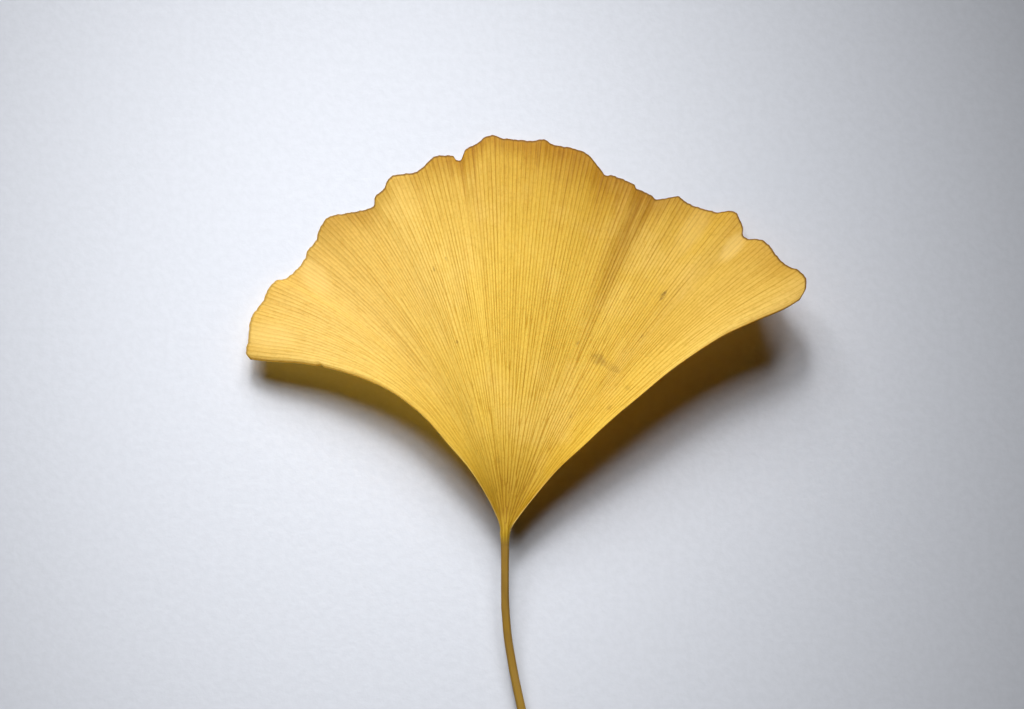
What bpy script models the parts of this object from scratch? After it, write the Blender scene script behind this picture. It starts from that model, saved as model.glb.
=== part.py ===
"""A dried ginkgo leaf, lying on a level surface: a fan-shaped blade and its stalk, grown as one piece.

The leaf is one closed surface. A flat grid runs across the leaf from its left lower margin to its
right one, and along it from the end of the stalk to the outer margin. Every row of the grid becomes a
cross-section, round in the stalk and thin and wide in the blade, and the columns follow the veins.
"""

import bmesh
import bpy
import numpy as np

MM = 0.001

# Driving dimensions of the blade. Its base, where the stalk ends, is the point that angles are measured round.
LEFT_CORNER_DEG = 145.6
RIGHT_CORNER_DEG = 38.1
BLADE_THICKNESS = 0.35 * MM
BASE_HEIGHT = 4.5 * MM
BLADE_BASE = np.array([-2.73, -6.68]) * MM

# The outer margin from the left corner to the right one, crest by notch: degrees round the base, counted
# from +X, and the reach from the base in millimetres.
LEFT_CORNER = [(145.6, 43.8), (145.2, 44.8), (143.0, 45.8), (140.2, 47.4), (139.2, 47.8), (135.8, 48.3)]
LEFT_LOBES = [
    (134.1, 49.0), (132.2, 49.3), (130.2, 48.6), (127.8, 48.8), (125.6, 49.5), (124.8, 50.1),
    (122.5, 50.8), (121.7, 51.6), (118.9, 52.9), (116.4, 52.3), (113.3, 51.6), (112.0, 51.5),
    (111.5, 51.8), (111.1, 52.7), (109.2, 53.5), (108.0, 54.7), (107.3, 54.9), (103.9, 54.5),
]
CROWN = [
    (102.2, 55.2), (100.4, 56.2), (97.8, 55.8), (97.4, 55.1), (96.8, 55.0), (95.8, 56.6),
    (94.4, 57.1), (92.7, 58.2), (91.8, 58.4), (90.5, 57.9), (86.0, 57.6), (84.7, 58.0),
    (82.6, 57.3), (81.0, 57.3), (78.3, 57.0), (76.1, 55.6), (74.3, 54.4), (73.6, 54.7),
]
RIGHT_LOBES = [
    (71.4, 54.6), (69.9, 54.4), (69.4, 54.0), (66.8, 53.9), (66.2, 53.6), (65.0, 54.1),
    (62.9, 55.4), (61.2, 55.1), (57.0, 55.8), (54.7, 57.2), (53.1, 56.4), (52.3, 55.8),
    (51.6, 54.9), (50.8, 54.7), (49.5, 55.5), (48.4, 55.8), (44.8, 54.9),
]
RIGHT_CORNER = [(43.6, 54.8), (41.6, 55.3), (40.8, 55.3), (39.1, 54.3), (38.6, 53.4), (38.1, 52.1)]
OUTER_MARGIN = LEFT_CORNER + LEFT_LOBES + CROWN + RIGHT_LOBES + RIGHT_CORNER

# How far the veins bow inward from a straight line, as a share of their length: most along the two lower
# margins, and less towards the middle of the fan, which the power says.
LEFT_BOW = 0.158
LEFT_BOW_POWER = 1.3
RIGHT_BOW = 0.063
RIGHT_BOW_POWER = 3.0
NECK = 0.015

# The lower margins' waves: share of the margin's length from the base, and millimetres outwards.
LEFT_WAVES = [
    (0, 0), (0.1, -0.12), (0.2, -0.05), (0.3, 0.18), (0.4, -0.15), (0.55, -0.44), (0.72, -0.2), (0.85, 0.02),
    (0.94, 0.28), (1, 0),
]
RIGHT_WAVES = [
    (0, 0.1), (0.12, 0), (0.2, -0.08), (0.32, 0.22), (0.48, 0.22), (0.62, -0.06), (0.76, -0.16), (0.86, 0.2),
    (0.95, 0.5), (1, 0.2),
]
WAVE_DEPTH_ACROSS = 0.05

# Heights of the outer margin over the resting surface, in millimetres, across the fan from 0 at the left
# corner to 1 at the right one. It touches the surface at two places, and both corners stand clear of it.
OUTER_HEIGHTS = [
    (0, 3.6), (0.08, 2.1), (0.18, 0.6), (0.28, 0.1), (0.4, 0.5), (0.5, 0.9), (0.6, 0.8),
    (0.7, 0.3), (0.76, 0.1), (0.82, 1.1), (0.9, 4.3), (1, 10.3),
]

# How far a vein's middle rises over a straight line between its ends: in the fan's middle and at its two sides.
MIDDLE_RISE = 0.9 * MM
LEFT_RISE = 2.95 * MM
RIGHT_RISE = 2.2 * MM

# The stalk's middle line from the blade's base to the stalk's end: x, y and height in millimetres; and its
# radius in millimetres by the share of its length.
STALK_LINE = [
    (0, 0, 4.5), (0, -3, 4.2), (0, -8, 3.5), (0.25, -13, 2.75), (1.0, -18, 2.15), (2.3, -24.2, 1.6),
    (4.1, -31, 1.15), (6.3, -38, 0.85), (8.9, -45, 0.75),
]
STALK_RADII = [(0, 0.74), (0.03, 0.65), (0.08, 0.57), (0.2, 0.54), (0.5, 0.58), (0.85, 0.62), (0.95, 0.72), (1, 0.72)]
STALK_ROUND_END = 0.012
TANGENT_STEP = 0.01

# How far from its base the blade thickens to meet the round stalk.
FOOT = 3.0 * MM

# The grid: columns across at the outer margin, which halve twice on the way to the stalk, and rows.
COLUMNS = 64
HALVINGS = [0.42, 0.14]
BLADE_ROWS = 24
STALK_ROWS = 14
ROW_POWER = 1.3
GRID_HALF_SIZE = 0.5
WELD_DISTANCE = 0.0005 * MM

LEAF_COLOUR = (0.83, 0.55, 0.10, 1)
LEAF_ROUGHNESS = 0.55


def smooth_through(points, at):
    """A curve through the points that never swings past them, read at the given places."""
    xs, ys = np.array(sorted(points), float).T
    steps = np.diff(xs)
    slopes = np.diff(ys) / steps
    tangents = np.zeros(len(xs))
    same_way = slopes[:-1] * slopes[1:] > 0
    pair = np.where(same_way, slopes[:-1] + slopes[1:], 1)
    tangents[1:-1] = np.where(same_way, 2 * slopes[:-1] * slopes[1:] / pair, 0)
    tangents[0] = slopes[0]
    tangents[-1] = slopes[-1]
    i = np.clip(np.searchsorted(xs, at) - 1, 0, len(steps) - 1)
    t = np.clip((at - xs[i]) / steps[i], 0, 1)
    start = (1 + 2 * t) * (1 - t) ** 2 * ys[i] + t * (1 - t) ** 2 * steps[i] * tangents[i]
    end = t**2 * (3 - 2 * t) * ys[i + 1] + t**2 * (t - 1) * steps[i] * tangents[i + 1]
    return start + end


def outer_margin(across):
    """The point of the outer margin where each vein ends."""
    degrees = LEFT_CORNER_DEG + (RIGHT_CORNER_DEG - LEFT_CORNER_DEG) * across
    reach = smooth_through(OUTER_MARGIN, degrees) * MM
    return reach * np.cos(np.radians(degrees)), reach * np.sin(np.radians(degrees))


def fan(across, along):
    """Where the veins run, seen from above: across 0 to 1 over the fan, along 0 to 1 from base to margin."""
    end_x, end_y = outer_margin(across)
    start_x = -STALK_RADII[0][1] * MM * np.cos(np.pi * across)
    span = end_x - start_x
    spread = (along - NECK * (1 - np.exp(-along / NECK))) / (1 - NECK)
    to_left = np.clip(1 - 2 * across, 0, 1)
    to_right = np.clip(2 * across - 1, 0, 1)
    bow = LEFT_BOW * to_left**LEFT_BOW_POWER - RIGHT_BOW * to_right**RIGHT_BOW_POWER
    bow = bow * 4 * along * (1 - along)
    left_wave = smooth_through(LEFT_WAVES, along) * MM * np.exp(-across / WAVE_DEPTH_ACROSS)
    right_wave = smooth_through(RIGHT_WAVES, along) * MM * np.exp((across - 1) / WAVE_DEPTH_ACROSS)
    length = np.hypot(span, end_y)
    x = start_x + span * spread + bow * end_y + (right_wave - left_wave) * end_y / length
    y = end_y * along - bow * span + (left_wave - right_wave) * span / length
    return x, y


def blade_height(across, along):
    """How high the blade's middle surface lies."""
    ends = BASE_HEIGHT * (1 - along) + smooth_through(OUTER_HEIGHTS, across) * MM * along
    side_rise = np.where(across < 0.5, LEFT_RISE, RIGHT_RISE)
    rise = MIDDLE_RISE + (side_rise - MIDDLE_RISE) * (2 * across - 1) ** 2
    return ends + rise * 4 * along * (1 - along)


def blade_half_thickness(across, along):
    """Half the blade's thickness: thin to its rim, and thickening to the round stalk at its base."""
    x, y = fan(across, along)
    in_rim = (across > 0) & (across < 1) & (along < 1)
    thin = np.where(in_rim, BLADE_THICKNESS / 2, 0)
    stalk = STALK_RADII[0][1] * MM * np.sin(np.pi * across)
    foot = np.exp(-((y / FOOT) ** 2))
    return thin * (1 - foot) + stalk * foot


def stalk_sections(across, along):
    """The stalk's upper and lower side, along from 0 at the blade's base to 1 at its end."""
    line = np.array(STALK_LINE) * MM
    stations = np.linspace(0, 1, len(line))
    ahead = np.clip(along + TANGENT_STEP, 0, 1)
    behind = ahead - 2 * TANGENT_STEP
    middle, front, back = (
        np.array([smooth_through(list(zip(stations, line[:, axis])), place) for axis in range(3)])
        for place in (along, ahead, behind)
    )
    forward = (front - back) / np.linalg.norm(front - back, axis=0)
    side = np.array([-forward[1], forward[0], np.zeros_like(along)])
    side = side / np.linalg.norm(side, axis=0)
    up = np.cross(forward, side, axis=0)
    to_end = np.clip((1 - along) / STALK_ROUND_END, 0, 1)
    radius = smooth_through(STALK_RADII, along) * MM * np.sqrt(1 - (1 - to_end) ** 2)
    edge = middle - side * radius * np.cos(np.pi * across)
    rise = up * radius * np.sin(np.pi * across)
    return edge + rise, edge - rise


def leaf_sides(across, station):
    """The leaf's upper and lower side. The station is -1 at the stalk's end, 0 at the base, 1 at the margin."""
    along = np.clip(station, 0, 1)
    x, y = fan(across, along)
    z = blade_height(across, along)
    half = blade_half_thickness(across, along)
    upper, lower = stalk_sections(across, np.clip(-station, 0, 1))
    in_blade = station > 0
    upper = np.where(in_blade, np.array([x, y, z + half]), upper)
    lower = np.where(in_blade, np.array([x, y, z - half]), lower)
    return upper.T, lower.T


def halve_columns(bm, row_of, column_of, limit_row, step):
    """Merges pairs of columns below a row, where the leaf is too narrow for them all."""
    spare = [
        edge
        for edge in bm.edges
        if all(column_of[v] % (2 * step) == step for v in edge.verts)
        and max(row_of[v] for v in edge.verts) <= limit_row
    ]
    bmesh.ops.dissolve_edges(bm, edges=spare, use_verts=True)


def leaf_grid():
    """A flat grid with its place across the fan and its station kept for each vertex."""
    bm = bmesh.new()
    rows = BLADE_ROWS + STALK_ROWS
    bmesh.ops.create_grid(bm, x_segments=COLUMNS, y_segments=rows, size=GRID_HALF_SIZE)
    column_of = {v: round((v.co.x + GRID_HALF_SIZE) * COLUMNS) for v in bm.verts}
    row_of = {v: round((v.co.y + GRID_HALF_SIZE) * rows) for v in bm.verts}
    for level, along in enumerate(HALVINGS):
        limit_row = STALK_ROWS + round(BLADE_ROWS * along ** (1 / ROW_POWER))
        halve_columns(bm, row_of, column_of, limit_row, 2**level)
    for v in bm.verts:
        row = row_of[v] - STALK_ROWS
        station = (row / BLADE_ROWS) ** ROW_POWER if row > 0 else np.sin(np.pi / 2 * row / STALK_ROWS)
        v.co = (column_of[v] / COLUMNS, station, 0)
    return bm


def leaf_mesh():
    """The leaf's two sides from the grid, joined all round, set down on the surface."""
    bm = leaf_grid()
    upper = list(bm.verts)
    below = bmesh.ops.duplicate(bm, geom=bm.verts[:] + bm.edges[:] + bm.faces[:])
    lower = [below["vert_map"][v] for v in upper]
    bmesh.ops.reverse_faces(bm, faces=[item for item in below["geom"] if isinstance(item, bmesh.types.BMFace)])
    places = np.array([v.co for v in upper])
    for verts, points in zip((upper, lower), leaf_sides(places[:, 0], places[:, 1])):
        for v, point in zip(verts, points):
            v.co = point
    bmesh.ops.remove_doubles(bm, verts=bm.verts, dist=WELD_DISTANCE)
    lowest = min(v.co.z for v in bm.verts)
    bmesh.ops.translate(bm, verts=bm.verts, vec=(*BLADE_BASE, -lowest))
    mesh = bpy.data.meshes.new("ginkgo_leaf")
    bm.to_mesh(mesh)
    bm.free()
    mesh.shade_smooth()
    return mesh


def leaf_material():
    material = bpy.data.materials.new("dried_ginkgo_leaf")
    material.use_nodes = True
    shader = material.node_tree.nodes["Principled BSDF"]
    shader.inputs["Base Color"].default_value = LEAF_COLOUR
    shader.inputs["Roughness"].default_value = LEAF_ROUGHNESS
    shader.inputs["Metallic"].default_value = 0
    return material


def main():
    for old in list(bpy.data.objects):
        bpy.data.objects.remove(old, do_unlink=True)
    collection = bpy.data.collections.new("ginkgo_leaf")
    bpy.context.scene.collection.children.link(collection)
    mesh = leaf_mesh()
    mesh.materials.append(leaf_material())
    collection.objects.link(bpy.data.objects.new("ginkgo_leaf", mesh))


main()
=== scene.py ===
"""A dried ginkgo leaf on a pale surface: a ribbed, fan-shaped blade and its stalk, grown as one piece.

The leaf is one closed surface on a grid. Across runs from 0 at the left lower margin to 1 at the right one,
and station runs from -1 at the stalk's end through 0 at the blade's base to 1 at the outer margin. The grid's
columns follow the veins. Lengths are in metres, and the tables that say so are in millimetres.
"""

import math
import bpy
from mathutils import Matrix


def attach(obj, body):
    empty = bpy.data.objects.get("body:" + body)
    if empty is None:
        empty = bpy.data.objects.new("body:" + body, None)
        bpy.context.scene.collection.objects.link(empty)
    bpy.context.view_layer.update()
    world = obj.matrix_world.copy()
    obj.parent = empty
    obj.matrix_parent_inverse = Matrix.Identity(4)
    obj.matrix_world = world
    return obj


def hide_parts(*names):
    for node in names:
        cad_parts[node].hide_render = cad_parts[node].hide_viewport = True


bl_info = {
    "name": "Dried Ginkgo Leaf",
    "version": (1, 0, 0),
    "blender": (4, 5, 0),
    "location": "3D View > Sidebar > Leaf",
    "description": "Builds a dried ginkgo leaf with forking veins, lying on a pale surface",
    "category": "Add Mesh",
}

import bmesh
import bpy
import numpy as np
from bpy.props import FloatProperty, FloatVectorProperty, PointerProperty
from bpy.types import Operator, Panel, PropertyGroup
from mathutils import Matrix, Vector

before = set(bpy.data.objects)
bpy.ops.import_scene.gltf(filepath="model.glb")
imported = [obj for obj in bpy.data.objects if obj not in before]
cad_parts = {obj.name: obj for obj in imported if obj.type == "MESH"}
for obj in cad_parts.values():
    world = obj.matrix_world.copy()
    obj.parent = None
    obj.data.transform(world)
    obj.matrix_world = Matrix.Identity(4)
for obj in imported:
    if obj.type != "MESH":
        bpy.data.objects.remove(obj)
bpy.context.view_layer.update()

MM = 0.001

# The fan opens between two corners, whose angles are measured round the blade's base, where the stalk joins
# it. The base has a height over the surface and a place on it.
LEFT_CORNER_DEG = 145.6
RIGHT_CORNER_DEG = 38.1
BASE_HEIGHT = 4.5 * MM
BLADE_BASE = np.array([-2.73, -6.68]) * MM

# The outer margin from the left corner to the right one, crest by notch: degrees round the base, counted
# from +X, and the reach from the base in millimetres.
LEFT_CORNER = [(145.6, 43.8), (145.2, 44.8), (143.0, 45.8), (140.2, 47.4), (139.2, 47.8), (135.8, 48.3)]
LEFT_LOBES = [
    (134.1, 49.0), (132.2, 49.3), (130.2, 48.6), (127.8, 48.8), (125.6, 49.5), (124.8, 50.1),
    (122.5, 50.8), (121.7, 51.6), (118.9, 52.9), (116.4, 52.3), (113.3, 51.6), (112.0, 51.5),
    (111.5, 51.8), (111.1, 52.7), (109.2, 53.5), (108.0, 54.7), (107.3, 54.9), (103.9, 54.5),
]
CROWN = [
    (102.2, 55.2), (100.4, 56.2), (97.8, 55.8), (97.4, 55.1), (96.8, 55.0), (95.8, 56.6),
    (94.4, 57.1), (92.7, 58.2), (91.8, 58.4), (90.5, 57.9), (86.0, 57.6), (84.7, 58.0),
    (82.6, 57.3), (81.0, 57.3), (78.3, 57.0), (76.1, 55.6), (74.3, 54.4), (73.6, 54.7),
]
RIGHT_LOBES = [
    (71.4, 54.6), (69.9, 54.4), (69.4, 54.0), (66.8, 53.9), (66.2, 53.6), (65.0, 54.1),
    (62.9, 55.4), (61.2, 55.1), (57.0, 55.8), (54.7, 57.2), (53.1, 56.4), (52.3, 55.8),
    (51.6, 54.9), (50.8, 54.7), (49.5, 55.5), (48.4, 55.8), (44.8, 54.9),
]
RIGHT_CORNER = [(43.6, 54.8), (41.6, 55.3), (40.8, 55.3), (39.1, 54.3), (38.6, 53.4), (38.1, 52.1)]
OUTER_MARGIN = LEFT_CORNER + LEFT_LOBES + CROWN + RIGHT_LOBES + RIGHT_CORNER

# The fine teeth of the outer margin: waves across the fan, how deep in millimetres, and where they start.
TEETH = [(160, 0.035, 0.0), (61, 0.06, 0.3), (97, 0.045, 1.7)]

# How far the veins bow inward from a straight line, as a share of their length: most along the two lower
# margins, and less towards the middle of the fan, which the power says. The neck is the share of their length
# over which they run on from the stalk before they spread.
LEFT_BOW = 0.158
LEFT_BOW_POWER = 1.3
RIGHT_BOW = 0.063
RIGHT_BOW_POWER = 3.0
NECK = 0.015

# The lower margins' waves: share of the margin's length from the base, and millimetres outwards; and how far
# across the fan they reach.
LEFT_WAVES = [
    (0, 0), (0.1, -0.12), (0.2, -0.05), (0.3, 0.18), (0.4, -0.15),
    (0.55, -0.44), (0.72, -0.2), (0.85, 0.02), (0.94, 0.28), (1, 0),
]
RIGHT_WAVES = [
    (0, 0.1), (0.12, 0), (0.2, -0.08), (0.32, 0.22), (0.48, 0.22),
    (0.62, -0.06), (0.76, -0.16), (0.86, 0.2), (0.95, 0.5), (1, 0.2),
]
WAVE_DEPTH_ACROSS = 0.05

# A small nick in the left lower margin: its place along the margin, its half width, its depth, and how far
# across the fan it reaches.
NICK_ALONG = 0.79
NICK_WIDTH = 0.006
NICK_DEPTH = 0.3 * MM
NICK_ACROSS = 0.006

# Heights of the outer margin over the resting surface, in millimetres, across the fan; and how much the blade
# bulges between its base and that margin, in the middle of the fan and along the two lower margins.
OUTER_HEIGHTS = [
    (0, 3.6), (0.08, 2.1), (0.18, 0.6), (0.28, 0.1), (0.4, 0.5), (0.5, 0.9), (0.6, 0.8),
    (0.7, 0.3), (0.76, 0.1), (0.82, 1.1), (0.9, 4.3), (1, 10.3),
]
MIDDLE_RISE = 0.9 * MM
LEFT_RISE = 2.95 * MM
RIGHT_RISE = 2.2 * MM

# Pleats that run down from notches in the margin: place across, half width across, height in millimetres, and
# the stations between which they fade in.
PLEATS = [
    (0.706, 0.010, 0.12, 0.45, 0.95),
    (0.662, 0.006, 0.10, 0.80, 1.00),
    (0.449, 0.006, 0.08, 0.72, 1.00),
    (0.345, 0.020, 0.08, 0.45, 1.00),
    (0.560, 0.018, 0.07, 0.50, 1.00),
    (0.850, 0.016, 0.10, 0.55, 1.00),
    (0.130, 0.022, 0.10, 0.50, 1.00),
]

# The stalk's middle line from the blade's base to the stalk's end: x, y and height in millimetres; and its
# radius in millimetres by the share of its length. Its end is rounded over a share of the length, more
# bluntly than a ball. The foot is how far into the blade the stalk's thickness fades out. The tangent step is
# how far ahead and behind the points lie that give the stalk's direction.
STALK_LINE = [
    (0, 0, 4.5), (0, -3, 4.2), (0, -8, 3.5), (0.25, -13, 2.75), (1.0, -18, 2.15), (2.3, -24.2, 1.6),
    (4.1, -31, 1.15), (6.3, -38, 0.85), (8.9, -45, 0.75),
]
STALK_RADII = [
    (0, 0.74), (0.03, 0.65), (0.08, 0.57), (0.2, 0.54), (0.5, 0.58), (0.85, 0.62), (0.95, 0.72), (1, 0.72),
]
STALK_ROUND_END = 0.012
END_BLUNTNESS = 2.6
FOOT = 3.0 * MM
TANGENT_STEP = 0.01

# The stalk's shallow upper groove, its fine ribs, and a small knot on its left side. Depths and heights are
# shares of its radius. Groove and ribs fade in over a first share of its length.
SHAPED_FROM = 0.08
GROOVE_DEPTH = 0.16
GROOVE_ACROSS = 0.13
STALK_RIBS = 9
STALK_RIB_DEPTH = 0.022
KNOT_ALONG = 0.315
KNOT_LENGTH = 0.011
KNOT_ACROSS = 0.22
KNOT_HEIGHT = 0.24

# The veins start as a few at the base and fork where they have spread wide enough. The spacing at which one
# forks differs from vein to vein by a sum of its number and its level, and a fork's two arms part while the
# spacing grows by the fork's length. Spacings and widths are in millimetres.
FIRST_VEINS = 5
FORKINGS = 5
FORK_SPACING = 0.46
FORK_SPACING_SPREAD = 0.26
FORK_LENGTH = 0.14
FORK_CHANCE = (0.137, 0.618, 0.41)
VEIN_WIDTH = 0.14
LINE_WIDTH = 0.13

# The thickening along the lower margins: how far in it is highest and how wide it is, in half thicknesses.
BEAD_PLACE = 1.5

# The grid: columns across at the outer margin, which halve at some stations on the way to the stalk, and
# rows, which lie a little closer together near the base. The last rows lie close together and round the
# margin. The two sides are joined where they come closer than the weld distance.
GRID_HALF_SIZE = 0.5
COLUMNS = 640
HALVINGS = [0.45, 0.22, 0.10, 0.04]
BLADE_ROWS = 96
STALK_ROWS = 56
ROW_POWER = 1.12
RIM_ROWS = [0.9972, 0.9987, 0.9995, 1]
WELD_DISTANCE = 0.0004 * MM

# The numbers that each vertex keeps for the material: its place on the leaf, how far the columns have spread,
# its distances from the two kinds of margin, and 1 on the underside. Lengths are in millimetres. On the rim,
# where the two sides meet, the last one is a half.
KEPT_VALUES = ["across", "station", "pitch", "to_margin", "to_side", "underside"]

# Blemishes, and one patch of painted sheen among the pale ones: x, y, half length and half width in
# millimetres from the blade's base, the way they run in degrees, and how strong they are.
DARK_MARKS = [
    (22.48, 33.94, 0.95, 0.30, 56, 1.00),
    (13.10, 24.80, 1.30, 0.90, -42, 0.38),
    (14.50, 23.80, 1.20, 0.65, -38, 0.25),
    (15.70, 23.00, 0.80, 0.50, -40, 0.30),
    (17.10, 20.05, 0.55, 0.40, -30, 0.25),
    (9.26, 16.38, 0.30, 0.22, 60, 0.45),
    (19.40, 27.85, 0.40, 0.22, 60, 0.40),
    (-6.83, 27.29, 0.30, 0.22, 104, 0.60),
    (10.34, 27.13, 0.40, 0.22, 70, 0.55),
    (14.54, 17.28, 0.45, 0.35, 50, 0.35),
    (-0.90, 10.14, 0.38, 0.24, 95, 0.60),
    (-10.19, 38.10, 0.45, 0.16, 105, 0.60),
    (-8.48, 39.59, 0.40, 0.16, 102, 0.50),
    (-5.37, 17.13, 2.60, 1.10, 106, 0.14),
]
PALE_PATCHES_AND_SHEEN = [
    (-27.30, 37.16, 3.60, 1.90, 126, 0.50),
    # Painted sheen: this pale patch stands for the soft shine near the right corner.
    (32.53, 41.05, 3.00, 1.30, 52, 0.35),
    (-33.60, 28.20, 4.20, 2.00, 172, 0.45),
    (27.00, 44.10, 4.50, 1.80, 58, 0.16),
]

# Where the brown band that runs in from the split in the outer margin lies across the fan, and its half
# width. The band is partly a stain and partly painted shade along the pleat there.
BAND_ACROSS = 0.7215
BAND_HALF_WIDTH = 0.032

# How brown the blade is inside its outer margin, how pale it turns outwards, and how dull it is from its
# middle to the right: place across, amount.
BROWNING = [
    (0, 0.22), (0.20, 0.25), (0.28, 0.55), (0.36, 0.35), (0.47, 0.95), (0.60, 1.0), (0.72, 1.0),
    (0.79, 0.4), (0.88, 0.3), (0.94, 0.45), (1, 0.2),
]
PALENESS = [
    (0, 0.78), (0.14, 0.75), (0.30, 0.45), (0.42, 0.25), (0.55, 0.0), (0.80, 0.0), (0.90, 0.25), (1, 0.45),
]
DULLNESS = [(0, 0), (0.45, 0), (0.75, 0.20), (0.86, 0.28), (1, 0.12)]

# The camera's place: what it looks at on the surface, how far off and how high.
CAMERA_TARGET = Vector((-1.753, 19.410, 0)) * MM
CAMERA_DISTANCE = 346.4 * MM
CAMERA_ELEVATION = math.radians(80)
CAMERA_LENS_MM = 85
CAMERA_SENSOR_MM = 36

# Where the light's pool is brightest, from the point that the camera looks at.
LIGHT_POOL = Vector((-20, -5, 0)) * MM

# The light is one lamp with a ring of lamps round it: the share of the power that the middle one has, each
# lamp's own radius as a share of the ring's, how many lamps the ring has, and how much wider than high it is.
CENTRE_LAMP_SHARE = 0.34
LAMP_SIZE_SHARE = 0.5
RING_LAMPS = 8
LIGHT_WIDENING = 1.3

# The faint light of the room.
ROOM_COLOUR = (0.93, 0.96, 1.0, 1)
ROOM_STRENGTH = 0.004


class LeafSettings(PropertyGroup):
    blade_thickness: FloatProperty(
        name="Blade thickness",
        description="Thickness of the blade between its veins",
        default=0.24 * MM,
        min=0.1 * MM,
        unit="LENGTH",
        precision=5,
    )
    vein_height: FloatProperty(
        name="Vein height",
        description="How far the veins stand up from each face",
        default=0.03 * MM,
        min=0,
        unit="LENGTH",
        precision=5,
    )
    margin_bead: FloatProperty(
        name="Margin bead",
        description="How much the two lower margins are thickened, as a share of the blade's thickness",
        default=0.15,
        min=0,
        max=2,
        subtype="FACTOR",
    )
    blade_colour: FloatVectorProperty(
        name="Blade colour",
        description="The blade's tone half way out",
        default=(0.83, 0.61, 0.090),
        min=0,
        max=1,
        subtype="COLOR",
    )
    base_colour: FloatVectorProperty(
        name="Base colour",
        description="The browner tone where the veins gather at the blade's base",
        default=(0.375, 0.218, 0.002),
        min=0,
        max=1,
        subtype="COLOR",
    )
    margin_colour: FloatVectorProperty(
        name="Outer colour",
        description="The browner tone of the band inside the outer margin",
        default=(0.50, 0.27, 0.012),
        min=0,
        max=1,
        subtype="COLOR",
    )
    # The pale tone also paints one patch of sheen on the blade, near the right corner.
    pale_colour: FloatVectorProperty(
        name="Pale colour",
        description="The straw tone of the pale patches and of the lower margins' rim",
        default=(0.94, 0.738, 0.26),
        min=0,
        max=1,
        subtype="COLOR",
    )
    vein_tint: FloatVectorProperty(
        name="Vein tint",
        description="What the lines on the veins multiply the blade's tone by",
        default=(0.60, 0.46, 0.06),
        min=0,
        max=1,
        subtype="COLOR",
    )
    edge_colour: FloatVectorProperty(
        name="Edge colour",
        description="The dark brown of the outer margin's edge and of the blemishes",
        default=(0.15, 0.075, 0.012),
        min=0,
        max=1,
        subtype="COLOR",
    )
    stalk_colour: FloatVectorProperty(
        name="Stalk colour",
        description="The stalk's gold-brown",
        default=(0.32, 0.190, 0.037),
        min=0,
        max=1,
        subtype="COLOR",
    )
    through_colour: FloatVectorProperty(
        name="Shine-through colour",
        description="The tone of light that passes through the blade",
        default=(1.0, 0.64, 0.03),
        min=0,
        max=1,
        subtype="COLOR",
    )
    light_through: FloatProperty(
        name="Shine-through share",
        description="How much of each face's light passes through it",
        default=0.38,
        min=0,
        max=1,
        subtype="FACTOR",
    )
    roughness: FloatProperty(
        name="Roughness",
        description="The roughness of the dry surface",
        default=0.55,
        min=0,
        max=1,
        subtype="FACTOR",
    )


class StageSettings(PropertyGroup):
    floor_size: FloatProperty(
        name="Surface size",
        description="Length of the surface's sides",
        default=3.0,
        min=0.5,
        unit="LENGTH",
    )
    floor_colour: FloatVectorProperty(
        name="Surface colour",
        description="The pale, cool tone of the surface",
        default=(0.550, 0.570, 0.620),
        min=0,
        max=1,
        subtype="COLOR",
    )
    light_elevation: FloatProperty(
        name="Light elevation",
        description="How high the light stands over the leaf",
        default=math.radians(44.7),
        subtype="ANGLE",
    )
    light_azimuth: FloatProperty(
        name="Light direction",
        description="Where the light stands, counted from +X",
        default=math.radians(96),
        subtype="ANGLE",
    )
    light_distance: FloatProperty(
        name="Light distance",
        description="How far the light stands from the leaf",
        default=0.55,
        min=0.1,
        unit="LENGTH",
    )
    light_softness: FloatProperty(
        name="Light softness",
        description="The light's radius as a share of its distance, without its outer lamps' own size",
        default=0.29,
        min=0,
        max=1,
        subtype="FACTOR",
    )
    pool_radius: FloatProperty(
        name="Pool radius",
        description="How wide the light's pool is before it fades out",
        default=0.1255,
        min=0.05,
        unit="LENGTH",
    )
    light_power: FloatProperty(
        name="Light power",
        description="The light's power in watts",
        default=34.3,
        min=0,
    )


def smooth_through(points, at):
    """A curve through the points that never swings past them, read at the given places."""
    xs, ys = np.array(sorted(points), float).T
    steps = np.diff(xs)
    slopes = np.diff(ys) / steps
    tangents = np.zeros(len(xs))
    same_way = slopes[:-1] * slopes[1:] > 0
    pair = np.where(same_way, slopes[:-1] + slopes[1:], 1)
    tangents[1:-1] = np.where(same_way, 2 * slopes[:-1] * slopes[1:] / pair, 0)
    tangents[0] = slopes[0]
    tangents[-1] = slopes[-1]
    i = np.clip(np.searchsorted(xs, at) - 1, 0, len(steps) - 1)
    t = np.clip((at - xs[i]) / steps[i], 0, 1)
    start = (1 + 2 * t) * (1 - t) ** 2 * ys[i] + t * (1 - t) ** 2 * steps[i] * tangents[i]
    end = t**2 * (3 - 2 * t) * ys[i + 1] + t**2 * (t - 1) * steps[i] * tangents[i + 1]
    return start + end


def ease(value, start, end):
    """Runs smoothly from 0 to 1 as the value goes from start to end."""
    t = np.clip((value - start) / (end - start), 0, 1)
    return t * t * (3 - 2 * t)


def hump(value, middle, half_width):
    """A smooth hump, 1 high."""
    return np.exp(-(((value - middle) / half_width) ** 2))


def outer_margin(across):
    """The point of the outer margin where each vein ends."""
    degrees = LEFT_CORNER_DEG + (RIGHT_CORNER_DEG - LEFT_CORNER_DEG) * across
    reach = smooth_through(OUTER_MARGIN, degrees) * MM
    for waves, depth, start in TEETH:
        reach = reach - depth * MM * np.sin(np.pi * waves * across + start) ** 2
    return reach * np.cos(np.radians(degrees)), reach * np.sin(np.radians(degrees))


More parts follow.
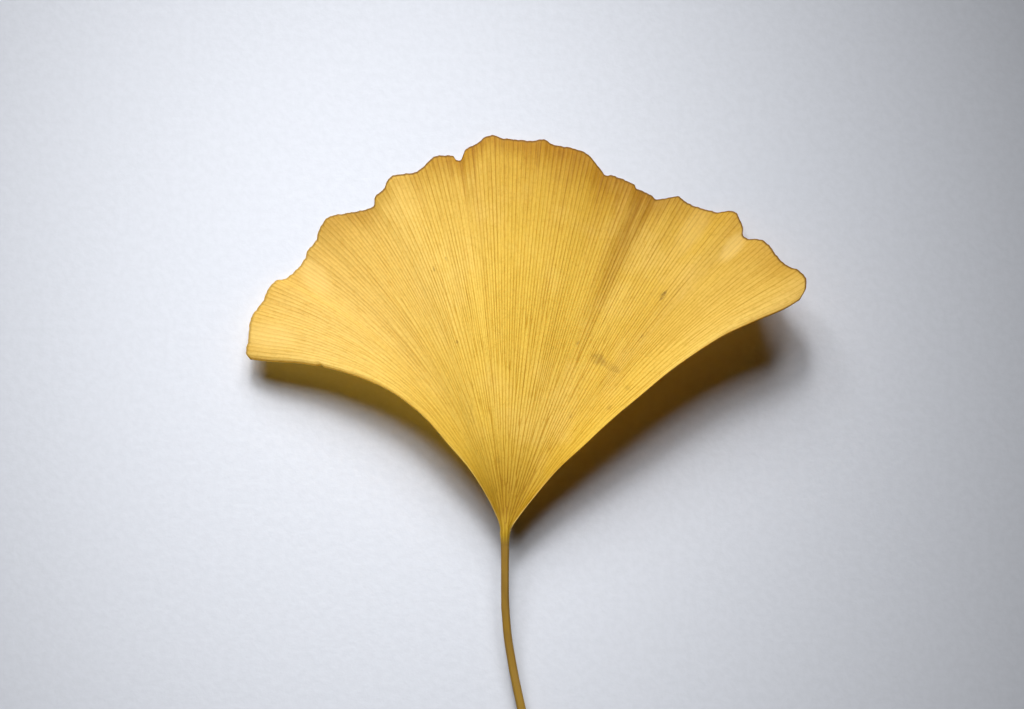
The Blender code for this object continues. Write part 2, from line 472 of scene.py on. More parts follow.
def fan(across, along):
    """Where the veins run, seen from above: across 0 to 1 over the fan, along 0 to 1 from base to margin."""
    end_x, end_y = outer_margin(across)
    start_x = -STALK_RADII[0][1] * MM * np.cos(np.pi * across)
    span = end_x - start_x
    spread = (along - NECK * (1 - np.exp(-along / NECK))) / (1 - NECK)
    to_left = np.clip(1 - 2 * across, 0, 1)
    to_right = np.clip(2 * across - 1, 0, 1)
    bow = LEFT_BOW * to_left**LEFT_BOW_POWER - RIGHT_BOW * to_right**RIGHT_BOW_POWER
    bow = bow * 4 * along * (1 - along)
    left_wave = smooth_through(LEFT_WAVES, along) * MM * np.exp(-across / WAVE_DEPTH_ACROSS)
    left_wave = left_wave - NICK_DEPTH * hump(along, NICK_ALONG, NICK_WIDTH) * np.exp(-across / NICK_ACROSS)
    right_wave = smooth_through(RIGHT_WAVES, along) * MM * np.exp((across - 1) / WAVE_DEPTH_ACROSS)
    length = np.hypot(span, end_y)
    x = start_x + span * spread + bow * end_y + (right_wave - left_wave) * end_y / length
    y = end_y * along - bow * span + (left_wave - right_wave) * span / length
    return x, y


def vein_pitch(across, along):
    """How far the columns have spread: the width of the fan in metres, if all spread as much as here."""
    step = 0.5 / COLUMNS
    left = np.clip(across - step, 0, 1)
    right = np.clip(across + step, 0, 1)
    left_x, left_y = fan(left, along)
    right_x, right_y = fan(right, along)
    return np.hypot(right_x - left_x, right_y - left_y) / (right - left)


def rim_distances(across, along, pitch):
    """How far a place lies from the outer margin and from the nearer lower margin, in metres."""
    end_x, end_y = outer_margin(across)
    to_margin = (1 - along) * np.hypot(end_x, end_y)
    to_side = np.minimum(across, 1 - across) * pitch
    return to_margin, to_side


def vein_distance(across, pitch):
    """How far the nearest vein's middle lies, in metres. The material works out the same sum.

    A vein starts in the middle of its cell, and its two arms part to a quarter of the cell on either side.
    """
    middle = (np.floor(across * FIRST_VEINS) + 0.5) / FIRST_VEINS
    for level in range(FORKINGS):
        cells = FIRST_VEINS * 2**level
        cell = np.floor(across * cells)
        chance = (FORK_CHANCE[0] * cell**2 + FORK_CHANCE[1] * cell + FORK_CHANCE[2] * level) % 1
        spacing = (FORK_SPACING + FORK_SPACING_SPREAD * chance) * MM
        forked = ease(pitch / cells, spacing, spacing * (1 + FORK_LENGTH))
        side = np.where(across * cells % 1 > 0.5, 0.25, -0.25)
        middle = middle + side * forked / cells
    return np.abs(across - middle) * pitch


def blade_height(across, along):
    """How high the blade's middle surface lies, with its pleats."""
    ends = BASE_HEIGHT * (1 - along) + smooth_through(OUTER_HEIGHTS, across) * MM * along
    side_rise = np.where(across < 0.5, LEFT_RISE, RIGHT_RISE)
    rise = MIDDLE_RISE + (side_rise - MIDDLE_RISE) * (2 * across - 1) ** 2
    height = ends + rise * 4 * along * (1 - along)
    for place, half_width, pleat, start, end in PLEATS:
        height = height + pleat * MM * hump(across, place, half_width) * ease(along, start, end)
    return height


def blade_half_thickness(settings, across, along, pitch):
    """Half the blade's thickness: rounded at its rim, beaded along the lower margins, ribbed by its veins."""
    to_margin, to_side = rim_distances(across, along, pitch)
    half = settings.blade_thickness / 2
    inward = np.clip(np.minimum(to_margin, to_side) / half, 0, 1)
    rounding = np.sqrt(1 - (1 - inward) ** 2)
    bead = 1 + settings.margin_bead * hump(to_side, BEAD_PLACE * half, BEAD_PLACE * half)
    rib = settings.vein_height * hump(vein_distance(across, pitch), 0, VEIN_WIDTH * MM)
    thin = (half * bead + rib) * rounding
    stalk = STALK_RADII[0][1] * MM * np.sin(np.pi * across)
    y = fan(across, along)[1]
    foot = hump(y, 0, FOOT)
    return thin * (1 - foot) + stalk * foot


def stalk_sections(across, along):
    """The stalk's upper and lower side, along from 0 at the blade's base to 1 at its end."""
    line = np.array(STALK_LINE) * MM
    stations = np.linspace(0, 1, len(line))
    ahead = np.clip(along + TANGENT_STEP, 0, 1)
    behind = ahead - 2 * TANGENT_STEP
    middle, front, back = (
        np.array([smooth_through(list(zip(stations, line[:, axis])), place) for axis in range(3)])
        for place in (along, ahead, behind)
    )
    forward = (front - back) / np.linalg.norm(front - back, axis=0)
    side = np.array([-forward[1], forward[0], np.zeros_like(along)])
    side = side / np.linalg.norm(side, axis=0)
    up = np.cross(forward, side, axis=0)
    to_end = np.clip((1 - along) / STALK_ROUND_END, 0, 1)
    radius = smooth_through(STALK_RADII, along) * MM
    radius = radius * (1 - (1 - to_end) ** END_BLUNTNESS) ** (1 / END_BLUNTNESS)
    shaped = ease(along, 0, SHAPED_FROM)
    ribs = 1 + STALK_RIB_DEPTH * shaped * np.cos(2 * np.pi * STALK_RIBS * across)
    knot = KNOT_HEIGHT * hump(along, KNOT_ALONG, KNOT_LENGTH) * hump(across, 0, KNOT_ACROSS)
    groove = 1 - GROOVE_DEPTH * shaped * hump(across, 0.5, GROOVE_ACROSS)
    edge = middle - side * radius * (ribs + knot) * np.cos(np.pi * across)
    rise = up * radius * (ribs + knot) * np.sin(np.pi * across)
    return edge + rise * groove, edge - rise


def leaf_sides(settings, across, station, pitch):
    """The leaf's upper and lower side."""
    along = np.clip(station, 0, 1)
    x, y = fan(across, along)
    z = blade_height(across, along)
    half = blade_half_thickness(settings, across, along, pitch)
    upper, lower = stalk_sections(across, np.clip(-station, 0, 1))
    in_blade = station > 0
    upper = np.where(in_blade, np.array([x, y, z + half]), upper)
    lower = np.where(in_blade, np.array([x, y, z - half]), lower)
    return upper.T, lower.T


def row_stations():
    """The station of each row of the grid, from the stalk's end to the outer margin."""
    stalk = -np.sin(np.pi / 2 * np.arange(STALK_ROWS, 0, -1) / STALK_ROWS)
    blade = RIM_ROWS[0] * np.linspace(0, 1, BLADE_ROWS + 1) ** ROW_POWER
    return np.concatenate([stalk, blade, RIM_ROWS[1:]])


def halve_columns(bm, row_of, column_of, limit_row, step):
    """Merges pairs of columns below a row, where the leaf is too narrow for them all."""
    spare = [
        edge
        for edge in bm.edges
        if all(column_of[v] % (2 * step) == step for v in edge.verts)
        and max(row_of[v] for v in edge.verts) <= limit_row
    ]
    bmesh.ops.dissolve_edges(bm, edges=spare, use_verts=True)


def leaf_grid():
    """A flat grid that has each vertex's place across in x and its station in y."""
    stations = row_stations()
    rows = len(stations) - 1
    bm = bmesh.new()
    for name in KEPT_VALUES:
        bm.verts.layers.float.new(name)
    bmesh.ops.create_grid(bm, x_segments=COLUMNS, y_segments=rows, size=GRID_HALF_SIZE)
    column_of = {v: round((v.co.x + GRID_HALF_SIZE) * COLUMNS) for v in bm.verts}
    row_of = {v: round((v.co.y + GRID_HALF_SIZE) * rows) for v in bm.verts}
    for level, along in enumerate(HALVINGS):
        limit_row = int(np.searchsorted(stations, along))
        halve_columns(bm, row_of, column_of, limit_row, 2**level)
    for v in bm.verts:
        v.co = (column_of[v] / COLUMNS, stations[row_of[v]], 0)
    return bm


def keep_on_vertices(bm, verts, values):
    """Keeps named numbers on the vertices, for the material to read."""
    for name, numbers in values.items():
        layer = bm.verts.layers.float[name]
        for v, number in zip(verts, numbers):
            v[layer] = number


def leaf_mesh(settings):
    """The leaf's two sides from the grid, joined all round and set down on the surface."""
    bm = leaf_grid()
    places = np.array([v.co[:2] for v in bm.verts])
    across, station = places.T
    along = np.clip(station, 0, 1)
    pitch = vein_pitch(across, along)
    to_margin, to_side = rim_distances(across, along, pitch)
    values = {
        "across": across,
        "station": station,
        "pitch": pitch / MM,
        "to_margin": to_margin / MM,
        "to_side": to_side / MM,
    }
    upper = list(bm.verts)
    keep_on_vertices(bm, upper, values)
    copy = bmesh.ops.duplicate(bm, geom=bm.verts[:] + bm.edges[:] + bm.faces[:])
    lower = [copy["vert_map"][v] for v in upper]
    faces = [part for part in copy["geom"] if isinstance(part, bmesh.types.BMFace)]
    bmesh.ops.reverse_faces(bm, faces=faces)
    on_rim = (across <= 0) | (across >= 1) | (station >= 1)
    keep_on_vertices(bm, upper, {"underside": np.where(on_rim, 0.5, 0)})
    keep_on_vertices(bm, lower, {"underside": np.where(on_rim, 0.5, 1)})
    for verts, points in zip((upper, lower), leaf_sides(settings, across, station, pitch)):
        for v, point in zip(verts, points):
            v.co = point
    bmesh.ops.remove_doubles(bm, verts=bm.verts, dist=WELD_DISTANCE)
    lowest = min(v.co.z for v in bm.verts)
    bmesh.ops.translate(bm, verts=bm.verts, vec=(*BLADE_BASE, -lowest))
    mesh = bpy.data.meshes.new("dried_ginkgo_leaf")
    bm.to_mesh(mesh)
    bm.free()
    mesh.shade_smooth()
    return mesh


class Wiring:
    """A material and short ways to add and join its nodes."""

    # The numbers of the mix node's colour sockets, and the soft edge of a spot.
    MIX_FIRST_COLOUR = 6
    MIX_SECOND_COLOUR = 7
    MIX_COLOUR_RESULT = 2
    SPOT_EDGE = (0.45, 1.25, 1.0, 0.0)

    def __init__(self, name):
        self.material = bpy.data.materials.new(name)
        self.material.use_nodes = True
        self.nodes = self.material.node_tree.nodes
        self.shader = self.nodes["Principled BSDF"]

    def join(self, value, socket):
        if isinstance(value, bpy.types.NodeSocket):
            self.material.node_tree.links.new(value, socket)
        elif socket.type == "RGBA" and len(value) == 3:
            socket.default_value = (*value, 1)
        else:
            socket.default_value = value

    def math(self, operation, *values):
        node = self.nodes.new("ShaderNodeMath")
        node.operation = operation
        for value, socket in zip(values, node.inputs):
            self.join(value, socket)
        return node.outputs[0]

    def times(self, *values):
        """The product of the values."""
        product = values[0]
        for value in values[1:]:
            product = self.math("MULTIPLY", product, value)
        return product

    def attribute(self, name):
        node = self.nodes.new("ShaderNodeAttribute")
        node.attribute_name = name
        return node.outputs["Fac"]

    def object_place(self):
        return self.nodes.new("ShaderNodeTexCoord").outputs["Object"]

    def ease(self, value, start, end, low=0.0, high=1.0):
        """Runs smoothly from low to high as the value goes from start to end."""
        node = self.nodes.new("ShaderNodeMapRange")
        node.interpolation_type = "SMOOTHSTEP"
        names = ("Value", "From Min", "From Max", "To Min", "To Max")
        for number, name in zip((value, start, end, low, high), names):
            self.join(number, node.inputs[name])
        return node.outputs[0]

    def curve(self, value, points):
        """A smooth curve through a few points: their place from 0 to 1, and their height."""
        node = self.nodes.new("ShaderNodeValToRGB")
        node.color_ramp.interpolation = "EASE"
        elements = node.color_ramp.elements
        elements.remove(elements[1])
        elements[0].position = points[0][0]
        for place, height in points:
            element = elements.new(place) if place > points[0][0] else elements[0]
            element.color = (height, height, height, 1)
        self.join(value, node.inputs[0])
        return node.outputs[0]

    def vector(self, x, y):
        node = self.nodes.new("ShaderNodeCombineXYZ")
        for value, socket in zip((x, y), node.inputs):
            self.join(value, socket)
        return node.outputs[0]

    def noise(self, place, scale, detail=2.0, roughness=0.5):
        node = self.nodes.new("ShaderNodeTexNoise")
        self.join(place, node.inputs["Vector"])
        node.inputs["Scale"].default_value = scale
        node.inputs["Detail"].default_value = detail
        node.inputs["Roughness"].default_value = roughness
        return node.outputs[0]

    def veined_noise(self, across, station, across_scale, station_scale, scale=1.0, detail=2.0):
        """Noise that is finer across the veins than along them."""
        place = self.vector(self.times(across, across_scale), self.times(station, station_scale))
        return self.noise(place, scale, detail)

    def relief(self, height, strength, depth):
        """Makes the surface look raised where the height is greater."""
        bump = self.nodes.new("ShaderNodeBump")
        bump.inputs["Strength"].default_value = strength
        bump.inputs["Distance"].default_value = depth
        self.join(height, bump.inputs["Height"])
        self.join(bump.outputs[0], self.shader.inputs["Normal"])

    def blend(self, factor, first, second, way="MIX"):
        node = self.nodes.new("ShaderNodeMix")
        node.data_type = "RGBA"
        node.blend_type = way
        self.join(factor, node.inputs[0])
        self.join(first, node.inputs[self.MIX_FIRST_COLOUR])
        self.join(second, node.inputs[self.MIX_SECOND_COLOUR])
        return node.outputs[self.MIX_COLOUR_RESULT]

    def spot(self, place, x, y, half_length, half_width, degrees):
        """1 inside a soft oval on the leaf, given in millimetres from the blade's base, and 0 outside it."""
        node = self.nodes.new("ShaderNodeMapping")
        node.vector_type = "TEXTURE"
        self.join(place, node.inputs["Vector"])
        node.inputs["Location"].default_value = (BLADE_BASE[0] + x * MM, BLADE_BASE[1] + y * MM, 0)
        node.inputs["Rotation"].default_value = (0, 0, math.radians(degrees))
        node.inputs["Scale"].default_value = (half_length * MM, half_width * MM, 1)
        length = self.nodes.new("ShaderNodeVectorMath")
        length.operation = "LENGTH"
        self.join(node.outputs[0], length.inputs[0])
        return self.ease(length.outputs["Value"], *self.SPOT_EDGE)


def vein_lines(wiring, across, pitch):
    """How far the nearest vein's middle lies, in millimetres: the same sum as in vein_distance."""
    first = wiring.math("FLOOR", wiring.math("MULTIPLY", across, FIRST_VEINS))
    middle = wiring.math("DIVIDE", wiring.math("ADD", first, 0.5), FIRST_VEINS)
    for level in range(FORKINGS):
        cells = FIRST_VEINS * 2**level
        place = wiring.math("MULTIPLY", across, cells)
        cell = wiring.math("FLOOR", place)
        slope = wiring.math("MULTIPLY_ADD", cell, FORK_CHANCE[0], FORK_CHANCE[1])
        chance = wiring.math("FRACT", wiring.math("MULTIPLY_ADD", cell, slope, FORK_CHANCE[2] * level))
        spacing = wiring.math("MULTIPLY_ADD", chance, FORK_SPACING_SPREAD, FORK_SPACING)
        forked_at = wiring.math("MULTIPLY", spacing, 1 + FORK_LENGTH)
        forked = wiring.ease(wiring.math("DIVIDE", pitch, cells), spacing, forked_at)
        right_half = wiring.math("GREATER_THAN", wiring.math("FRACT", place), 0.5)
        side = wiring.math("MULTIPLY_ADD", right_half, 0.5 / cells, -0.25 / cells)
        middle = wiring.math("MULTIPLY_ADD", side, forked, middle)
    apart = wiring.math("ABSOLUTE", wiring.math("SUBTRACT", across, middle))
    return wiring.math("MULTIPLY", apart, pitch)


# The tones are laid over each other in layers. A fade has the values at which it starts and ends and, where
# they aren't 0 and 1, its amounts there. A grain has the scales of a noise across and along the veins, and
# then, where they aren't 1 and 2, its whole scale and its detail. A grain that has no direction has its
# scale, detail and roughness. The wander shifts where the base's tone ends, and how many millimetres the
# brown band reaches in from the outer margin: its factor and its offset.
WANDER_GRAIN = (9, 1, 1.6)
WANDER_ALONG = 0.08
BASE_FADE = (0.02, 0.38)
NECK_FADE = (0.06, 0.01, 0.0, 0.25)
PALER_OUTWARDS = (0.15, 0.85)
BROWNER_OUTWARDS = (0.62, 1.0, 0.0, 0.50)
MARGIN_BAND_FROM = -1.0
MARGIN_BAND_DEPTH = (14.0, -1.5)
STREAK_GRAIN = (75, 2.5)
STREAK_FADE = (0.35, 0.75, 0.0, 0.22)
STREAKS_LEFT = (0.2, 0.5, 0.5, 1.0)
BLOTCH_GRAIN = (90.0, 3.0, 0.6)
BLOTCH_FADE = (0.45, 0.75, 0.0, 0.25)


def blade_tones(wiring, settings, across, station, to_margin, place):
    """The blade's colour from its base to its outer margin, with blotches and streaks along the veins."""
    wander = wiring.veined_noise(across, station, *WANDER_GRAIN)
    from_base = wiring.ease(wiring.math("MULTIPLY_ADD", wander, WANDER_ALONG, station), *BASE_FADE)
    tone = wiring.blend(from_base, settings.base_colour, settings.blade_colour)
    tone = wiring.blend(wiring.ease(station, *NECK_FADE), tone, settings.blade_colour)
    paler = wiring.times(wiring.curve(across, PALENESS), wiring.ease(station, *PALER_OUTWARDS))
    tone = wiring.blend(paler, tone, settings.pale_colour)
    browning = wiring.curve(across, BROWNING)
    outwards = wiring.times(browning, wiring.ease(station, *BROWNER_OUTWARDS))
    tone = wiring.blend(outwards, tone, settings.margin_colour)
    band_depth = wiring.math("MULTIPLY_ADD", wander, *MARGIN_BAND_DEPTH)
    band = wiring.times(wiring.ease(to_margin, MARGIN_BAND_FROM, band_depth, 1.0, 0.0), browning)
    tone = wiring.blend(band, tone, settings.margin_colour)
    duller = wiring.times(wiring.curve(across, DULLNESS), from_base)
    tone = wiring.blend(duller, tone, settings.margin_colour)
    streaks = wiring.veined_noise(across, station, *STREAK_GRAIN)
    streaks = wiring.times(wiring.ease(streaks, *STREAK_FADE), wiring.ease(across, *STREAKS_LEFT))
    tone = wiring.blend(streaks, tone, settings.margin_colour)
    blotches = wiring.noise(place, *BLOTCH_GRAIN)
    return wiring.blend(wiring.ease(blotches, *BLOTCH_FADE), tone, settings.pale_colour)


# The lines on the veins: how they fade from a vein's middle, outwards, to the left, to the right and from the
# base, how uneven they are, and which of them are bold. Between them lie fibres and grain.
LINE_FADE = (0.02, LINE_WIDTH, 1.0, 0.0)
LINES_OUTWARDS = (0.45, 0.90, 1.0, 0.80)
LINES_LEFT = (0.10, 0.45, 0.72, 1.0)
LINES_RIGHT = (0.75, 1.0, 1.0, 0.80)
LINES_AT_BASE = (0.04, 0.25, 1.35, 1.0)
UNEVEN_GRAIN = (220, 9)
UNEVEN_FADE = (0.25, 0.75, 0.30, 0.95)
BOLD_GRAIN = (130, 2)
BOLD_FADE = (0.50, 0.68, 0.0, 0.6)
BOLD_LEFT = (0.15, 0.45, 0.4, 1.0)
FIBRE_GRAIN = (520, 30)
FIBRE_FADE = (0.45, 0.80, 0.0, 0.40)
DUST_GRAIN = (2300.0, 3.0, 0.7)
DUST_FADE = (0.45, 0.75, 0.0, 0.35)


def add_veins(wiring, settings, tone, across, station, pitch, place):
    """Darker thin lines on the veins, uneven along their length, with finer fibres and grain between them."""
    line = wiring.ease(vein_lines(wiring, across, pitch), *LINE_FADE)
    line = wiring.times(line, wiring.ease(station, *LINES_OUTWARDS))
    unevenness = wiring.veined_noise(across, station, *UNEVEN_GRAIN)
    strength = wiring.times(
        wiring.ease(unevenness, *UNEVEN_FADE),
        wiring.ease(across, *LINES_LEFT),
        wiring.ease(across, *LINES_RIGHT),
        wiring.ease(station, *LINES_AT_BASE),
    )
    tone = wiring.blend(wiring.times(line, strength), tone, settings.vein_tint, "MULTIPLY")
    bold = wiring.veined_noise(across, station, *BOLD_GRAIN)
    bold = wiring.times(line, wiring.ease(bold, *BOLD_FADE), wiring.ease(across, *BOLD_LEFT))
    tone = wiring.blend(bold, tone, settings.vein_tint, "MULTIPLY")
    fibres = wiring.veined_noise(across, station, *FIBRE_GRAIN)
    tone = wiring.blend(wiring.ease(fibres, *FIBRE_FADE), tone, settings.vein_tint, "MULTIPLY")
    dust = wiring.noise(place, *DUST_GRAIN)
    tone = wiring.blend(wiring.ease(dust, *DUST_FADE), tone, settings.vein_tint, "MULTIPLY")
    return tone, line


# The brown streaks: how far they run in from the outer margin in millimetres, and how strong they are there
# and in the band below the split, which starts half way out and is brushed with the same streaks.
# The band's brown is partly a stain and partly painted shade along the pleat below the split.
BRUSH_GRAIN = (170, 4, 1.0, 3.0)
BRUSH_FADE = (0.45, 0.70)
BRUSHED_INWARD = (1.0, 12.0, 0.55, 0.0)
OUTERMOST_FADE = (0.2, 3.5, 0.32, 0.0)
BAND_FADE = (0.0, BAND_HALF_WIDTH, 1.0, 0.0)
BAND_OUTWARDS = (0.50, 0.78)
BAND_STAIN_AND_SHADE = (0.84, 0.95, 0.34, 0.16)
BAND_BRUSHED = (0.38, 0.62, 0.0, 0.4)


def brown_streaks(wiring, settings, tone, across, station, to_margin):
    """Brown streaks from the outer margin inwards, thickest in the band below the split in the right half,
    whose brown is partly painted shade along the pleat.
    """
    browning = wiring.curve(across, BROWNING)
    brush = wiring.veined_noise(across, station, *BRUSH_GRAIN)
    inward = wiring.times(wiring.ease(to_margin, *BRUSHED_INWARD), browning)
    streaks = wiring.times(wiring.ease(brush, *BRUSH_FADE), inward)
    tone = wiring.blend(streaks, tone, settings.vein_tint, "MULTIPLY")
    outermost = wiring.times(wiring.ease(to_margin, *OUTERMOST_FADE), browning)
    tone = wiring.blend(outermost, tone, settings.vein_tint, "MULTIPLY")
    # The band below the split: partly a stain, partly painted shade along the pleat there.
    off_band = wiring.math("ABSOLUTE", wiring.math("SUBTRACT", across, BAND_ACROSS))
    band = wiring.times(wiring.ease(off_band, *BAND_FADE), wiring.ease(station, *BAND_OUTWARDS))
    brown = wiring.times(band, wiring.ease(station, *BAND_STAIN_AND_SHADE))
    tone = wiring.blend(brown, tone, settings.margin_colour)
    brushed = wiring.times(band, wiring.ease(brush, *BAND_BRUSHED))
    return wiring.blend(brushed, tone, settings.vein_tint, "MULTIPLY")


# The dark blemishes are speckled.
SPECKLE_GRAIN = (1800.0, 3.0, 0.7)
SPECKLE_FADE = (0.35, 0.60, 0.2, 1.0)


def add_blemishes(wiring, settings, tone, place):
    """The stains and spots, the paler patches and one patch of painted sheen."""
    # The pale patches, one of which is painted sheen near the right corner.
    for x, y, half_length, half_width, degrees, strength in PALE_PATCHES_AND_SHEEN:
        spot = wiring.spot(place, x, y, half_length, half_width, degrees)
        tone = wiring.blend(wiring.times(spot, strength), tone, settings.pale_colour)
    patchy = wiring.ease(wiring.noise(place, *SPECKLE_GRAIN), *SPECKLE_FADE)
    for x, y, half_length, half_width, degrees, strength in DARK_MARKS:
        spot = wiring.spot(place, x, y, half_length, half_width, degrees)
        tone = wiring.blend(wiring.times(spot, strength, patchy), tone, settings.edge_colour)
    return tone


# The two kinds of rim: how far in they fade, in millimetres, and how faint the dark one is at the left.
PALE_RIM_FADE = (0.06, 0.26, 0.5, 0.0)
DARK_RIM_FADE = (0.14, 0.44, 1.0, 0.0)
DARK_RIM_LEFT = (0.12, 0.4, 0.5, 1.0)


def add_rims(wiring, settings, tone, across, to_margin, to_side):
    """The thin dark edge of the outer margin, faint at the left, and the thin pale rim of the lower ones."""
    tone = wiring.blend(wiring.ease(to_side, *PALE_RIM_FADE), tone, settings.pale_colour)
    edge = wiring.times(wiring.ease(to_margin, *DARK_RIM_FADE), wiring.ease(across, *DARK_RIM_LEFT))
    return wiring.blend(edge, tone, settings.edge_colour)


# The stalk's streaks, its browner patches and its dark end.
STALK_STREAK_GRAIN = (14, 10)
STALK_STREAK_FADE = (0.35, 0.70, 0.0, 0.55)
STALK_BROWN_FADE = (-0.60, -0.30, 0.22, 0.45)
STALK_PATCH_GRAIN = (1, 9)
STALK_PATCH_FADE = (0.38, 0.62, 0.80, 1.15)
STALK_END_FADE = (-0.99, -0.998, 0.0, 0.8)


def stalk_tones(wiring, settings, across, station):
    """The stalk's colour: fine streaks along it, browner towards the blade and dark at its end."""
    streaks = wiring.veined_noise(across, station, *STALK_STREAK_GRAIN)
    streaks = wiring.ease(streaks, *STALK_STREAK_FADE)
    tone = wiring.blend(streaks, settings.stalk_colour, settings.base_colour)
    patches = wiring.ease(wiring.veined_noise(across, station, *STALK_PATCH_GRAIN), *STALK_PATCH_FADE)
    brown = wiring.times(wiring.ease(station, *STALK_BROWN_FADE), patches)
    tone = wiring.blend(brown, tone, settings.edge_colour)
    return wiring.blend(wiring.ease(station, *STALK_END_FADE), tone, settings.edge_colour)


def let_light_through(wiring, colour, share):
    """Mixes a share of light that comes from behind into the surface."""
    behind = wiring.nodes.new("ShaderNodeBsdfTranslucent")
    wiring.join(colour, behind.inputs["Color"])
    both = wiring.nodes.new("ShaderNodeMixShader")
    wiring.join(share, both.inputs[0])
    wiring.join(wiring.shader.outputs[0], both.inputs[1])
    wiring.join(behind.outputs[0], both.inputs[2])
    wiring.join(both.outputs[0], wiring.nodes["Material Output"].inputs["Surface"])


# Where the stalk's tones take over, how much paler the underside is, and the dry surface: how little it
# mirrors, how its roughness varies and its fine relief, in which the lines stand out.
STALK_TONES_FADE = (-0.005, -0.08)
UNDERSIDE_PALENESS = 0.18
MIRRORING = 0.15
SKIN_GRAIN = (2600.0, 3.0, 0.6)
SKIN_FADE = (0.2, 0.8)
SMOOTHEST = -0.08
ROUGHEST = 0.12
LINE_RELIEF = 0.6
RELIEF_STRENGTH = 0.6
RELIEF_DEPTH = 0.03 * MM

# The light that shines through: its share of the blade's own tone, how much paler it is at the left, how much
# more of it comes through there, and where it ends at the stalk.
GLOW_TONE_SHARE = 0.35
GLOW_PALER_LEFT = (0.25, 0.5, 1.0, 0.0)
GLOW_MORE_LEFT = (0.2, 0.45, 1.48, 1.00)
GLOW_FROM_STALK = (-0.04, 0.06)


def leaf_material(settings):
    """The dry blade and stalk: forked veins, browning, blemishes and light that shines through the blade."""
    wiring = Wiring("dried_ginkgo_leaf")
    place = wiring.object_place()
    across, station, pitch, to_margin, to_side, underside = (
        wiring.attribute(name) for name in KEPT_VALUES
    )
    tone = blade_tones(wiring, settings, across, station, to_margin, place)
    tone = brown_streaks(wiring, settings, tone, across, station, to_margin)
    tone, line = add_veins(wiring, settings, tone, across, station, pitch, place)
    tone = add_blemishes(wiring, settings, tone, place)
    tone = add_rims(wiring, settings, tone, across, to_margin, to_side)
    tone = wiring.blend(wiring.times(underside, UNDERSIDE_PALENESS), tone, settings.pale_colour)
    in_stalk = wiring.ease(station, *STALK_TONES_FADE)
    tone = wiring.blend(in_stalk, tone, stalk_tones(wiring, settings, across, station))
    wiring.join(tone, wiring.shader.inputs["Base Color"])
    wiring.join(MIRRORING, wiring.shader.inputs["Specular IOR Level"])
    grain = wiring.noise(place, *SKIN_GRAIN)
    rough = wiring.ease(grain, *SKIN_FADE, settings.roughness + SMOOTHEST, settings.roughness + ROUGHEST)
    wiring.join(rough, wiring.shader.inputs["Roughness"])
    wiring.relief(wiring.math("MULTIPLY_ADD", line, LINE_RELIEF, grain), RELIEF_STRENGTH, RELIEF_DEPTH)
    paler_left = wiring.ease(across, *GLOW_PALER_LEFT)
    through = wiring.blend(paler_left, settings.through_colour, settings.pale_colour)
    glow = wiring.blend(GLOW_TONE_SHARE, through, tone)
    in_blade = wiring.ease(station, *GLOW_FROM_STALK, 0.0, settings.light_through)
    let_light_through(wiring, glow, wiring.times(in_blade, wiring.ease(across, *GLOW_MORE_LEFT)))
    return wiring.material


# The surface that the leaf lies on: its grain, its tone's share where the grain is darkest, and its relief.
FLOOR_GRAIN = (900.0, 3.0, 0.6)
FLOOR_FADE = (0.3, 0.7)
FLOOR_DARKEST = 0.96
FLOOR_ROUGHNESS = 0.85
FLOOR_RELIEF_STRENGTH = 0.35
FLOOR_RELIEF_DEPTH = 0.1 * MM


def floor_material(settings):
    """A pale, matt surface with a faint grain."""
    wiring = Wiring("pale_surface")
    grain = wiring.noise(wiring.object_place(), *FLOOR_GRAIN)
    faded = tuple(channel * FLOOR_DARKEST for channel in settings.floor_colour)
    tone = wiring.blend(wiring.ease(grain, *FLOOR_FADE), faded, settings.floor_colour)
    wiring.join(tone, wiring.shader.inputs["Base Color"])
    wiring.join(FLOOR_ROUGHNESS, wiring.shader.inputs["Roughness"])
    wiring.relief(grain, FLOOR_RELIEF_STRENGTH, FLOOR_RELIEF_DEPTH)
    return wiring.material


def add_object(name, data):
    thing = bpy.data.objects.new(name, data)
    bpy.context.scene.collection.objects.link(thing)
    return thing


class GINKGO_OT_dried_leaf(Operator):
    """Build the leaf's blade and stalk as one closed piece"""

    bl_idname = "ginkgo.dried_leaf"
    bl_label = "Dried leaf"

    def execute(self, context):
        settings = context.scene.ginkgo_leaf
        mesh = leaf_mesh(settings)
        mesh.materials.append(leaf_material(settings))
        leaf = add_object("dried_ginkgo_leaf", mesh)
        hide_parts("ginkgo_leaf")
        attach(leaf, "root")
        return {"FINISHED"}


def add_floor(settings):
    bm = bmesh.new()
    bmesh.ops.create_grid(bm, x_segments=1, y_segments=1, size=settings.floor_size / 2)
    mesh = bpy.data.meshes.new("pale_surface")
    bm.to_mesh(mesh)
    bm.free()
    mesh.materials.append(floor_material(settings))
    add_object("pale_surface", mesh)


def add_lights(settings):
    """A wide soft light behind the leaf and a little to its left: one lamp with a ring of lamps round it."""
    raised = Matrix.Rotation(-settings.light_elevation, 3, "Y")
    turn = Matrix.Rotation(settings.light_azimuth, 3, "Z") @ raised
    aim = CAMERA_TARGET + LIGHT_POOL
    spread = settings.light_softness * settings.light_distance
    lamps = [(Vector((0, 0, 0)), CENTRE_LAMP_SHARE)]
    for k in range(RING_LAMPS):
        angle = k * math.tau / RING_LAMPS
        place = Vector((0, LIGHT_WIDENING * math.cos(angle), math.sin(angle))) * spread
        lamps.append((place, (1 - CENTRE_LAMP_SHARE) / RING_LAMPS))
    for place, share in lamps:
        lamp = bpy.data.lights.new("soft_light", "SPOT")
        lamp.energy = settings.light_power * share
        lamp.shadow_soft_size = spread * LAMP_SIZE_SHARE
        lamp.spot_size = 2 * math.atan(settings.pool_radius / settings.light_distance)
        lamp.spot_blend = 1.0
        light = add_object("soft_light", lamp)
        light.location = aim + turn @ (Vector((settings.light_distance, 0, 0)) + place)
        light.rotation_euler = (light.location - aim).to_track_quat("Z", "Y").to_euler()


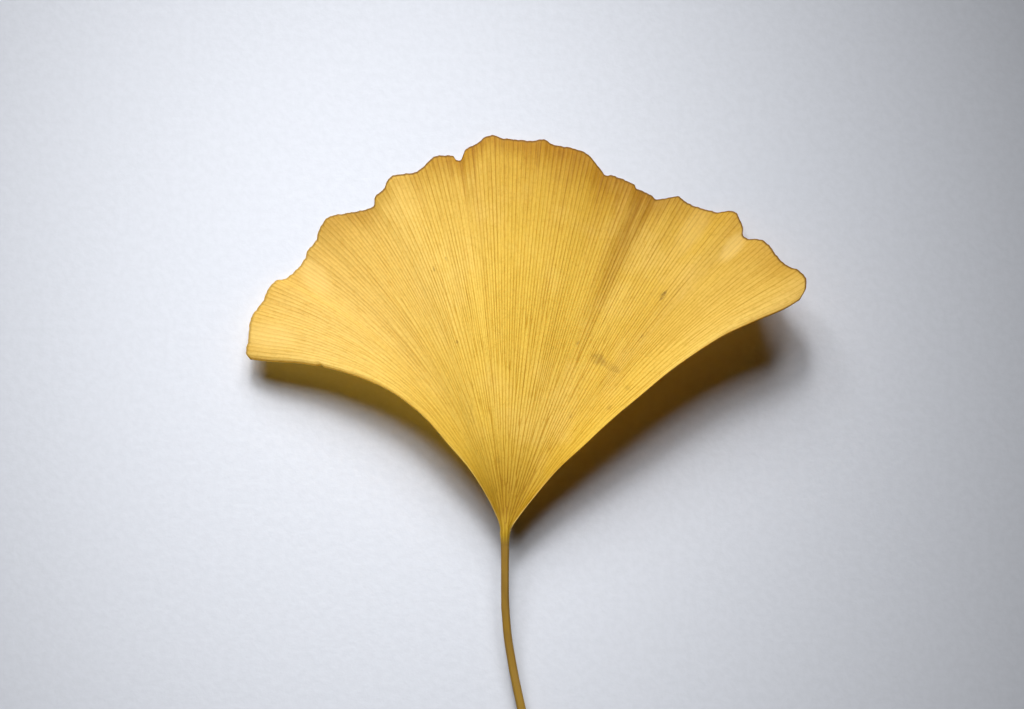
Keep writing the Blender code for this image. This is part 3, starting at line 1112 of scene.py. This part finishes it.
def add_sky():
    world = bpy.data.worlds.new("soft_room")
    world.use_nodes = True
    background = world.node_tree.nodes["Background"]
    background.inputs["Color"].default_value = ROOM_COLOUR
    background.inputs["Strength"].default_value = ROOM_STRENGTH
    bpy.context.scene.world = world


def add_camera():
    lens = bpy.data.cameras.new("camera")
    lens.lens = CAMERA_LENS_MM
    lens.sensor_width = CAMERA_SENSOR_MM
    camera = add_object("camera", lens)
    away = Vector((0, -math.cos(CAMERA_ELEVATION), math.sin(CAMERA_ELEVATION)))
    camera.location = CAMERA_TARGET + away * CAMERA_DISTANCE
    camera.rotation_euler = (math.pi / 2 - CAMERA_ELEVATION, 0, 0)
    bpy.context.scene.camera = camera


class GINKGO_OT_stage(Operator):
    """Add the pale surface, the soft light and the camera"""

    bl_idname = "ginkgo.stage"
    bl_label = "Surface, light and camera"

    def execute(self, context):
        settings = context.scene.ginkgo_stage
        add_floor(settings)
        add_lights(settings)
        add_sky()
        add_camera()
        context.scene.view_settings.view_transform = "Standard"
        return {"FINISHED"}


class GINKGO_PT_leaf(Panel):
    bl_idname = "GINKGO_PT_leaf"
    bl_label = "Dried ginkgo leaf"
    bl_space_type = "VIEW_3D"
    bl_region_type = "UI"
    bl_category = "Leaf"

    def draw(self, context):
        for settings, operator in (
            (context.scene.ginkgo_leaf, GINKGO_OT_dried_leaf),
            (context.scene.ginkgo_stage, GINKGO_OT_stage),
        ):
            box = self.layout.box()
            for name in settings.__annotations__:
                box.prop(settings, name)
            box.operator(operator.bl_idname)


CLASSES = (LeafSettings, StageSettings, GINKGO_OT_dried_leaf, GINKGO_OT_stage, GINKGO_PT_leaf)


def register():
    for item in CLASSES:
        bpy.utils.register_class(item)
    bpy.types.Scene.ginkgo_leaf = PointerProperty(type=LeafSettings)
    bpy.types.Scene.ginkgo_stage = PointerProperty(type=StageSettings)


def unregister():
    del bpy.types.Scene.ginkgo_stage
    del bpy.types.Scene.ginkgo_leaf
    for item in reversed(CLASSES):
        bpy.utils.unregister_class(item)


def main():
    register()
    bpy.ops.ginkgo.dried_leaf()
    bpy.ops.ginkgo.stage()


if __name__ == "__main__":
    main()
